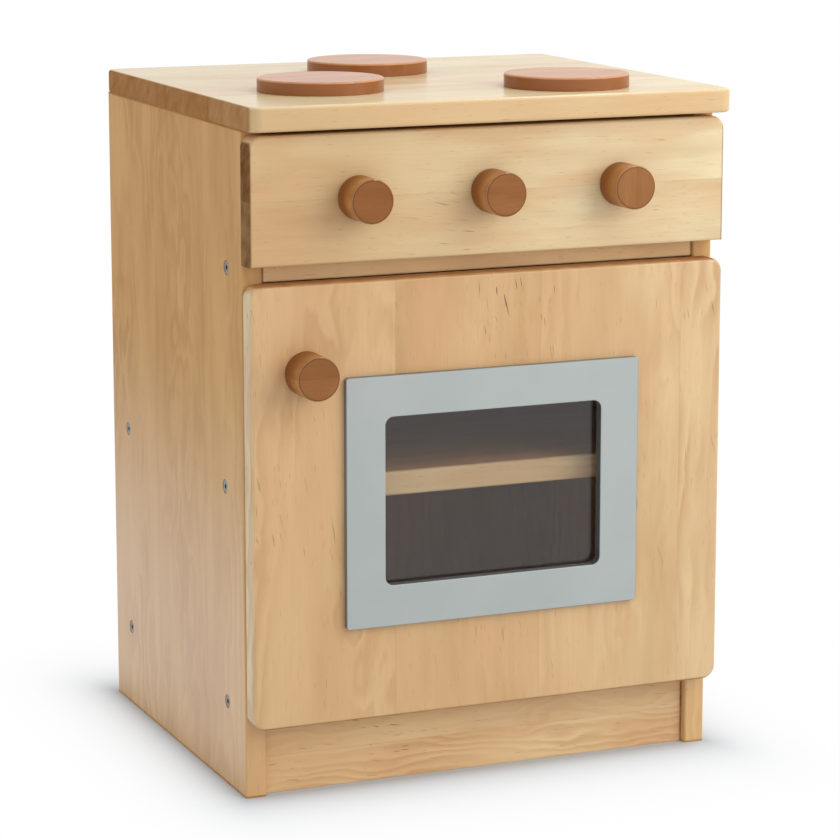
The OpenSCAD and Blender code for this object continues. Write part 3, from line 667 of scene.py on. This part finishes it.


# %% [markdown]
# ## The top board
# The top overhangs the front, its four corners are cut round in plan, and its rims are run
# over with a 3 mm rounding cutter. The plan corners are bevelled before the rims, so the
# rims flow round them in one line. Its upper face gets painted light, a paler cream that
# stands for the sheen of the white studio on the lacquer at this low angle.

# %% Make the top board
TOP_CORNER, TOP_ROUND = 11.5 * MM, 3 * MM
low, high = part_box("top_panel")
bm = slab(low, high)
round_off(bm, edges_along(bm, "Z"), TOP_CORNER, 10)
round_off(bm, rim(bm, "Z", low.z) + rim(bm, "Z", high.z), TOP_ROUND, 6)
bm = carve(bm, room_for("burner_screws", "cleat_screws"))
# The paler upper face is painted sheen, laid over the wood's own colour.
finish(bm, "top_panel", maple_for(
    "top_panel", "XYZ", lacquer=0.7, painted_light=[("Z", high.z - 2 * MM, high.z - 0.5 * MM, 0.8)],
    Seed=1.0, Figure=0.15, Streaks=0.25, Stave_width=95.0, Stave_contrast=0.2,
    Face=paint(222, 189, 140), Late_wood=paint(200, 158, 108), End=paint(164, 110, 62)))

# %% [markdown]
# ## The connector bolts
# Five bolts a side hold the shelf, the floor and the rail between the side boards. The packed
# node has them as loose solids, so their places are read from it. Each one is a turned head
# with an eased rim, a hexagonal socket, and its shank.

# %% Find the bolts
HEAD_D, HEAD_T, SHANK_D, SOCKET_ACROSS, SOCKET_DEEP = 12.5 * MM, 2 * MM, 6 * MM, 4 * MM, 1.4 * MM
HEAD_EASE, BOLT_CLEAR, CUT_PAST = 0.6 * MM, 0.2 * MM, 2 * MM


def loose_parts(node):
    """The lowest and highest corner of each loose solid of a CAD node."""
    bm = bmesh.new()
    bm.from_mesh(nodes[node].data)
    bmesh.ops.remove_doubles(bm, verts=bm.verts, dist=TOUCH)
    seen, boxes = set(), []
    for first in bm.verts:
        if first in seen:
            continue
        seen.add(first)
        part = [first]
        for vert in part:
            for edge in vert.link_edges:
                other = edge.other_vert(vert)
                if other not in seen:
                    seen.add(other)
                    part.append(other)
        ends = [[pick(v.co[i] for v in part) for i in range(3)] for pick in (min, max)]
        boxes.append((Vector(ends[0]), Vector(ends[1])))
    bm.free()
    return boxes


def bolt_line(box, side):
    """The outer end of a bolt's axis, and the way it is driven, on the left (-1) or right (1)."""
    low, high = box
    middle = (low + high) / 2
    return Vector((low.x if side < 0 else high.x, middle.y, middle.z)), Vector((-side, 0, 0))


def head_holes(side, node):
    """Cutters for the bolt heads of one side, which reach a little out of the board."""
    bm = bmesh.new()
    for box in loose_parts(node):
        end, inward = bolt_line(box, side)
        seat = end + inward * (HEAD_T + BOLT_CLEAR)
        rod(bm, end - inward * CUT_PAST, seat, HEAD_D / 2 + BOLT_CLEAR)
    return bm


def shank_holes(side, node):
    """Cutters for the bolt shanks of one side."""
    bm = bmesh.new()
    for box in loose_parts(node):
        end, inward = bolt_line(box, side)
        tip = end + inward * (box[1].x - box[0].x)
        rod(bm, end + inward * HEAD_T / 2, tip, SHANK_D / 2 + BOLT_CLEAR)
    return bm


# %% [markdown]
# The head is made first and its outer rim is eased, then the sockets are carved, and the
# shanks are added last, so that the bevel finds only the heads' rims. A six-sided rod makes
# the socket: its radius is the corner distance, which is half the width across the flats
# divided by the cosine of 30 degrees.

# %% Make the bolts
for side, node in ((-1, "connector_bolts_left"), (1, "connector_bolts_right")):
    bm, sockets = bmesh.new(), bmesh.new()
    for box in loose_parts(node):
        end, inward = bolt_line(box, side)
        rod(bm, end, end + inward * HEAD_T, HEAD_D / 2, 48)
        rod(sockets, end - inward * MM, end + inward * SOCKET_DEEP,
            SOCKET_ACROSS / 2 / math.cos(math.pi / 6), 6)
    outer = [v.co.x for v in bm.verts]
    round_off(bm, rim(bm, "X", min(outer) if side < 0 else max(outer)), HEAD_EASE, 3)
    bm = carve(bm, sockets)
    for box in loose_parts(node):
        end, inward = bolt_line(box, side)
        rod(bm, end + inward * HEAD_T, end + inward * (box[1].x - box[0].x), SHANK_D / 2, 24)
    finish(bm, node, bolt_steel)

# %% [markdown]
# ## The side boards
# Tall staves with the grain upright. The front edges are softened, and a rabbet at the back
# takes the thin back panel. Bolt heads sit in drilled recesses. The lacquer looks glossier
# toward the floor, which the bright ground below the stove brings out.

# %% Make the side boards
BOARD_ROUND = 2 * MM
BACK_LAP, BACK_T = 9 * MM, 6 * MM
REACH = Vector((1, 1, 1)) * 5 * MM
kick_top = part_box("toe_kick")[1].z


def side_board(node, side, bolts, seed, *screws):
    """The left (-1) or right (1) side board."""
    low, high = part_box(node)
    inner = high.x if side < 0 else low.x
    bm = slab(low, high)
    round_off(bm, edges_along(bm, "Z", lambda m: m.y < low.y + MM), BOARD_ROUND)
    rabbet = [Vector((inner + side * BACK_LAP, high.y - BACK_T, kick_top)),
              Vector((inner, high.y, high.z)) + REACH]
    if side > 0:
        rabbet[0].x, rabbet[1].x = inner - REACH.x, inner + BACK_LAP
    bm = carve(bm, slab(*rabbet))
    bm = carve(bm, head_holes(side, bolts))
    bm = carve(bm, shank_holes(side, bolts))
    bm = carve(bm, room_for("cleat_screws", "panel_block_screws", "kick_block_screws",
                            "back_screws", *screws))
    finish(bm, node, maple_for(
        node, "ZYX", lacquer=0.05, lacquer_low=1.0, Seed=seed, Figure=0.6, Streaks=0.4,
        Stave_width=137.0, Stave_shift=0.628, Stave_contrast=0.5, Face=paint(223, 180, 124)))


side_board("side_panel_left", -1, "connector_bolts_left", 2.0, "catch_screws")
side_board("side_panel_right", 1, "connector_bolts_right", 3.0, "hinge_side_screws")

# %% [markdown]
# ## The control panel
# A thick board across the front. Its upper corners are round and its lower ones square, and
# the rim of its face is rounded by 3 mm, which catches the light as a bright line. Painted
# light lifts the colour toward the right, where the lamp falls more strongly.

# %% Make the control panel
PANEL_CORNER, FACE_ROUND, BACK_ROUND = 11.5 * MM, 3 * MM, 1 * MM
low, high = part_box("control_panel")
bm = slab(low, high)
round_off(bm, edges_along(bm, "Y", lambda m: m.z > high.z - MM), PANEL_CORNER, 10)
round_off(bm, rim(bm, "Y", low.y), FACE_ROUND, 6)
round_off(bm, rim(bm, "Y", high.y), BACK_ROUND, 2)
bm = carve(bm, room_for("knob_spindle_left", "knob_spindle_middle", "knob_spindle_right"))
bm = carve(bm, room_for("panel_block_screws"))
# Painted light: the colour gets paler toward the right, where the lamp stands.
finish(bm, "control_panel", maple_for(
    "control_panel", "XZY", painted_light=[("X", low.x, 0.8 * high.x, 0.8)],
    Seed=4.0, Figure=0.12, Streaks=0.4, Streaks_along=-40.0, Streaks_across=-25.0,
    Stave_width=200.0, Face=paint(221, 189, 142), End=paint(114, 70, 34)))

# %% [markdown]
# ## The door
# A board of upright staves with round corners. The window's frame is let into its face, and a
# deeper step behind that holds the pane, so three rounded blocks are carved out in turn.

# %% Make the door
DOOR_CORNER, DOOR_LIP, SEAT_CLEAR = 12 * MM, 12 * MM, 0.1 * MM
FRAME_CORNER, SIGHT_CORNER = 3 * MM, 7.5 * MM
FRAME_BORDER, PANE_LAP = 36.5 * MM, 10 * MM
frame_low, frame_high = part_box("window_frame")
pane_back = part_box("window_pane")[1].y
low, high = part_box("door_panel")


def window_block(grow, corner, front, back):
    """A block with round corners, as big as the frame's box and grown by grow on each side."""
    bm = slab(Vector((frame_low.x - grow, front, frame_low.z - grow)),
              Vector((frame_high.x + grow, back, frame_high.z + grow)))
    round_off(bm, edges_along(bm, "Y"), corner, 8)
    return bm


bm = slab(low, high)
round_off(bm, edges_along(bm, "Y"), DOOR_CORNER, 10)
round_off(bm, rim(bm, "Y", low.y), FACE_ROUND, 6)
round_off(bm, rim(bm, "Y", high.y), BACK_ROUND, 2)
before = low.y - REACH.y
bm = carve(bm, window_block(SEAT_CLEAR, FRAME_CORNER, before, frame_high.y))
bm = carve(bm, window_block(PANE_LAP - FRAME_BORDER, FRAME_CORNER, before, pane_back + SEAT_CLEAR))
bm = carve(bm, window_block(DOOR_LIP / 2 - FRAME_BORDER, SIGHT_CORNER, before, high.y + REACH.y))
bm = carve(bm, room_for("frame_screws", "door_knob_screw", "hinge_door_screws", "strike_screw"))
# Painted light: the door is paler toward the right, where the lamp stands, and along its left rounded edge,
# which stands for a sheen there.
finish(bm, "door_panel", maple_for(
    "door_panel", "ZXY", lacquer=0.7,
    painted_light=[("X", 0.0, high.x, 0.25), ("X", low.x + 2 * MM, low.x + MM, 0.5)],
    Seed=5.0, Figure=0.5, Streaks=0.85, Streaks_along=165.0, Streaks_across=25.0, Stave_shift=0.667))

# %% [markdown]
# ## Silver lacquer for the window frame
# The face is sprayed matt silver-grey. The outer sides and the wall of the opening face away
# from the lamp and look darker in the photograph, so they get painted shade: a mask mixes in a
# dark grey there. It is made from the distance to the nearest outer edge, and from the depth
# behind the face.

# %% Make the silver lacquer
FRAME_EDGE, SIDE_PAINTED_SHADE, WALL_PAINTED_SHADE = 1.2 * MM, 0.55, 0.85
silver_lacquer = speckled("silver_lacquer", paint(179, 184, 182), paint(172, 178, 175),
                          metallic=0.3, rough=0.5, grain_mm=0.6, relief_mm=0.02)
tree = silver_lacquer.node_tree
shader = tree.nodes["Principled BSDF"]
place = tree.nodes.new("ShaderNodeTexCoord").outputs["Object"]
half_frame = (frame_high - frame_low) / 2
from_middle = separate(tree, grain_space(tree, place, (frame_low + frame_high) / 2, "XYZ"))
to_edges = [maths(tree, "SUBTRACT", half_frame[i], maths(tree, "ABSOLUTE", from_middle[i])) for i in (0, 2)]
nearest = maths(tree, "MINIMUM", *to_edges)
# Painted shade: a dark grey on the outer sides and on the wall of the opening, which face away from the
# lamp.
outer_painted_shade = step(tree, nearest, 0.2 * MM, 0.7 * MM, SIDE_PAINTED_SHADE, 0.0)
behind_face = step(tree, from_middle[1], 0.3 * MM - half_frame.y, FRAME_EDGE - half_frame.y, 0.0, WALL_PAINTED_SHADE)
on_wall = step(tree, nearest, FRAME_BORDER - 0.4 * MM, FRAME_BORDER - 0.1 * MM)
painted_shade = maths(tree, "MAXIMUM", outer_painted_shade, maths(tree, "MULTIPLY", behind_face, on_wall))
sprayed = shader.inputs["Base Color"].links[0].from_socket
feed(tree, shader.inputs["Base Color"], tint(tree, painted_shade, sprayed, paint(72, 74, 74)))
print("silver lacquer:", len(tree.nodes), "nodes")

# %% [markdown]
# ## The window frame and its pane
# The frame is a flat ring with round inner corners and softly eased edges. Only edges where
# two faces meet at more than 60 degrees are eased, which leaves out the seams in its face. The
# pane is a sheet with rounded corners that lies in its step behind the ring.

# %% Make the frame and the pane
bm = window_block(0.0, FRAME_CORNER, frame_low.y, frame_high.y)
bm = carve(bm, window_block(-FRAME_BORDER, SIGHT_CORNER, frame_low.y - REACH.y, frame_high.y + REACH.y))
front_rims = [e for e in rim(bm, "Y", frame_low.y) if e.calc_face_angle(0) > math.radians(60)]
round_off(bm, front_rims, FRAME_EDGE, 4)
bm = carve(bm, room_for("frame_screws"))
finish(bm, "window_frame", silver_lacquer)

low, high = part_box("window_pane")
bm = slab(low, high)
round_off(bm, edges_along(bm, "Y"), FRAME_CORNER, 6)
finish(bm, "window_pane", smoked)

# %% [markdown]
# ## The burners
# The burners are flat discs with a rounded upper rim. They are made as on a lathe: a round
# blank, then a cutter to each rim. A spin of an outline would give the same shape, but a
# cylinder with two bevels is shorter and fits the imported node's box exactly.

# %% Make the burners
BURNER_ROUND, DISC_EASE = 1.5 * MM, 0.4 * MM


def turned_blank(node, axis, segments):
    """A round blank that fills a node's box, along an axis."""
    low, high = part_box(node)
    middle, way = (low + high) / 2, Vector([float(a == axis) for a in "XYZ"])
    half = (high - low).dot(way) / 2
    radius = (high - low)[("XYZ".index(axis) + 1) % 3] / 2
    bm = bmesh.new()
    rod(bm, middle - way * half, middle + way * half, radius, segments)
    return bm, low, high


for seed, node in enumerate(("burner_front_left", "burner_back", "burner_front_right")):
    bm, low, high = turned_blank(node, "Z", 128)
    round_off(bm, rim(bm, "Z", high.z), BURNER_ROUND, 5)
    round_off(bm, rim(bm, "Z", low.z), DISC_EASE, 2)
    bm = carve(bm, room_for("burner_screws"))
    # Side and Side back carry the painted shade that darkens each disc's side toward its back.
    finish(bm, node, stained_for(
        node, "XYZ", lacquer=0.6, Seed=1.0 + seed, Split=0.0, Face_at=(high.z - low.z) / 2 / MM,
        Face=paint(220, 152, 100), Side=paint(154, 97, 56), Side_back=paint(146, 90, 50),
        Deep=paint(150, 92, 50)))

# %% [markdown]
# ## The knobs
# The knobs are short cylinders with a chamfered face, also turned. The chamfer is a bevel of
# one segment, and its two edges are eased a little, because no real edge is quite sharp and
# an eased one catches a thin line of light. Each knob has its own wood, and the grain of the
# right control knob stands upright, as if it had been left turned.

# %% Make the knobs
KNOB_CHAMFER, KNOB_BACK, CHAMFER_EASE = 1.2 * MM, 0.6 * MM, 0.2 * MM
KNOBS = {"control_knob_left": ("XZY", 0.05, paint(152, 97, 54), "knob_spindle_left"),
         "control_knob_middle": ("XZY", 0.05, paint(160, 105, 60), "knob_spindle_middle"),
         "control_knob_right": ("ZXY", 0.25, paint(170, 118, 72), "knob_spindle_right"),
         "door_knob": ("XZY", 0.35, paint(158, 104, 60), "door_knob_screw")}
for seed, (node, (order, split, wood, spindle)) in enumerate(KNOBS.items()):
    bm, low, high = turned_blank(node, "Y", 96)
    round_off(bm, rim(bm, "Y", low.y), KNOB_CHAMFER, 1)
    round_off(bm, rim(bm, "Y", low.y) + rim(bm, "Y", low.y + KNOB_CHAMFER), CHAMFER_EASE, 2)
    round_off(bm, rim(bm, "Y", high.y), KNOB_BACK, 2)
    bm = carve(bm, room_for(spindle))
    finish(bm, node, stained_for(
        node, order, lacquer=0.35, Seed=4.0 + seed, Split=split, Face=wood,
        Face_at=-(high.y - low.y) / 2 / MM, Ring_at=((high.x - low.x) / 2 - KNOB_CHAMFER) / MM))

# %% [markdown]
# ## The rail, the shelf and the floor
# These plain boards tie the sides together. Their front edges are softened so that they don't
# look cut from paper, and the holes for their bolts, barrel nuts and back screws are carved.
# Each board's wood is given as a seed, how much painted light lies on its front edge, and three
# colours: face, late wood and ends. These hold painted light and shade too: the rail's face is
# brighter than its wood to make up for the shade of the panel above it, its ends are darkened
# as painted shade where they meet the sides, and the shelf is darker as painted shade inside
# the oven, while its front edge is lit.

# %% Make the rail, the shelf and the floor
# The rail's bright face and dark ends, and the shelf's dark face with its pale front edge, are painted
# light and shade.
CROSS_BOARDS = {"front_rail": (7.0, 0.0, paint(255, 220, 168), paint(228, 184, 134), paint(96, 60, 32)),
                "oven_shelf": (8.0, 0.9, paint(194, 152, 104), paint(190, 141, 90), paint(140, 92, 52)),
                "floor_panel": (9.0, 0.3, paint(221, 183, 134), paint(190, 141, 90), paint(160, 109, 64))}
for node, (seed, edge_light, face, late, end) in CROSS_BOARDS.items():
    low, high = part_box(node)
    bm = slab(low, high)
    round_off(bm, edges_along(bm, "X", lambda m: m.y < low.y + MM), BOARD_ROUND)
    for side, name in ((-1, "left"), (1, "right")):
        bm = carve(bm, shank_holes(side, "connector_bolts_" + name))
        bm = carve(bm, room_for("barrel_nuts_" + name))
    bm = carve(bm, room_for("back_screws"))
    finish(bm, node, maple_for(node, "XYZ", lacquer=0.1, Seed=seed, Face=face, Late_wood=late, End=end,
                               painted_light=[("Y", low.y + 4 * MM, low.y + 2 * MM, edge_light)]))

# %% [markdown]
# ## The toe kick
# The board below the door is set back so that a child's feet have room. It is cut from livelier
# wood than the rest, with narrow rings, a strong figure and a few dark streaks at its left.

# %% Make the toe kick
KICK_EASE = 0.8 * MM
low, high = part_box("toe_kick")
bm = slab(low, high)
round_off(bm, edges_along(bm, "X", lambda m: m.y < low.y + MM), KICK_EASE, 3)
bm = carve(bm, room_for("kick_block_screws"))
# Painted light makes the kick paler toward the right, where the lamp stands. Its dark ends are partly end
# grain and partly painted shade where they meet the sides.
finish(bm, "toe_kick", maple_for(
    "toe_kick", "XZY", painted_light=[("X", low.x, high.x, 0.3)],
    Seed=6.0, Figure=0.7, Ring_width=7.0, Streaks=0.8, Streaks_along=-90.0, Streaks_across=10.0,
    Stave_width=200.0, Face=paint(236, 198, 148), Late_wood=paint(202, 154, 104), End=paint(96, 60, 32)))

# %% [markdown]
# ## The pieces that stay as packed
# The back panel, cleats and blocks are plain sawn pieces, and the hardware is small and mostly
# hidden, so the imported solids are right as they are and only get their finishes.

# %% Dress the remaining nodes
SAWN = {"back_panel": "ZXY", "top_cleat_left": "YXZ", "top_cleat_right": "YXZ",
        "panel_block_left": "ZXY", "panel_block_right": "ZXY",
        "kick_block_left": "ZXY", "kick_block_right": "ZXY"}
PLAIN = {"knob_front_washers": white_nylon, "magnetic_catch": white_nylon, "door_bumpers": dark_rubber}


def dress(node, material):
    """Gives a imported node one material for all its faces."""
    for slot in nodes[node].material_slots:
        slot.material = material


for seed, (node, order) in enumerate(SAWN.items()):
    dress(node, maple_for(node, order, Seed=20.0 + seed, Stave_width=300.0))
kept = [node for node in nodes if not nodes[node].hide_render and node not in SAWN]
for node in kept:
    dress(node, PLAIN.get(node, zinc_steel))
print("kept as packed:", len(kept) + len(SAWN))

# %% [markdown]
# ## The studio's world
# A white world makes the plain background. Light Path lets the camera, mirror-like rays and
# rays through the pane see full white, while the light that falls on the wood is kept lower,
# so the colours come out as they are written.

# %% Make the world
FILL = 0.72


def seen_directly(tree):
    """1 for rays of the camera, reflections and glass, 0 for the light that falls on things."""
    path = tree.nodes.new("ShaderNodeLightPath").outputs
    return maths(tree, "MAXIMUM", path["Is Camera Ray"],
                 maths(tree, "MAXIMUM", path["Is Glossy Ray"], path["Is Transmission Ray"]))


world = bpy.data.worlds.new("studio")
bpy.context.scene.world = world
world.use_nodes = True
sky = world.node_tree.nodes["Background"]
sky.inputs["Color"].default_value = (1, 1, 1, 1)
feed(world.node_tree, sky.inputs["Strength"],
     step(world.node_tree, seen_directly(world.node_tree), 0.0, 1.0, FILL, 1.0))
print("world: fill", FILL)

# %% [markdown]
# ## The studio's floor
# The floor mixes a pale grey surface, which takes the stove's shadow, with a glow that is pure
# white. Close to the stove the grey shows, and it fades to white within a few centimetres of
# the side boards' footprint, as in the photograph, where only a soft contact shadow is left.

# %% Make the floor
FLOOR_M, FLOOR_FILL, FLOOR_COLOUR = 14.0, 0.42, (0.57, 0.62, 0.66, 1)
FADE_SIDE, FADE_FRONT = 25 * MM, 42 * MM
bm = bmesh.new()
bmesh.ops.create_grid(bm, x_segments=1, y_segments=1, size=FLOOR_M / 2)
floor = bpy.data.objects.new("floor", bpy.data.meshes.new("floor"))
bm.to_mesh(floor.data)
bm.free()
bpy.context.scene.collection.objects.link(floor)
material, tree, shader, place = new_material("studio_floor")
shader.inputs["Base Color"].default_value = FLOOR_COLOUR
shader.inputs["Roughness"].default_value = 0.9
shader.inputs["Specular IOR Level"].default_value = 0.0

foot_low, foot_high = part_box("side_panel_left")[0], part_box("side_panel_right")[1]
from_foot = separate(tree, grain_space(tree, place, (foot_low + foot_high) / 2, "XYZ"))
beyond = []
for i, fade_length in ((0, FADE_SIDE), (1, FADE_FRONT)):
    past = maths(tree, "SUBTRACT", maths(tree, "ABSOLUTE", from_foot[i]), (foot_high - foot_low)[i] / 2)
    beyond.append(maths(tree, "DIVIDE", maths(tree, "MAXIMUM", past, 0.0), fade_length))
fades = length_of(tree, combine(tree, *beyond, 0.0))
near = maths(tree, "EXPONENT", maths(tree, "MULTIPLY", fades, -1.0))
whiteness = step(tree, seen_directly(tree), 0.0, 1.0, FLOOR_FILL, maths(tree, "SUBTRACT", 1.0, near))

fade = tree.nodes.new("ShaderNodeMixShader")
feed(tree, fade.inputs[0], whiteness)
tree.links.new(shader.outputs[0], fade.inputs[1])
tree.links.new(tree.nodes.new("ShaderNodeEmission").outputs[0], fade.inputs[2])
tree.links.new(fade.outputs[0], tree.nodes["Material Output"].inputs["Surface"])
floor.data.materials.append(material)
print("floor:", FLOOR_M, "m across")

# %% [markdown]
# ## The lamps
# A large soft lamp at the right, in front of the stove, gives the photograph's shadows, which
# fall to the left. A small one, higher and further to the right, draws the thin bright lines
# on the rounded edges. A lamp's energy is worked out from the level that it should add to a
# white face, so that it can be moved or resized without a change of brightness.

# %% Make the lamps
AIM_Z = 0.3


def lamp(name, level, turn, lift, distance, size):
    """A square lamp that adds level to a white face turned to it, turn degrees from the front."""
    data = bpy.data.lights.new(name, "AREA")
    data.size = size
    data.energy = level * math.pi ** 2 * distance ** 2
    piece = bpy.data.objects.new(name, data)
    bpy.context.scene.collection.objects.link(piece)
    a, e = math.radians(turn), math.radians(lift)
    back = Vector((math.sin(a) * math.cos(e), -math.cos(a) * math.cos(e), math.sin(e)))
    piece.location = Vector((0, 0, AIM_Z)) + back * distance
    piece.rotation_euler = back.to_track_quat("Z", "Y").to_euler()
    print(name, "lamp:", round(data.energy, 1), "W")


lamp("key", level=0.43, turn=38, lift=30, distance=1.6, size=1.3)
lamp("glint", level=0.1, turn=65, lift=65, distance=1.6, size=0.25)
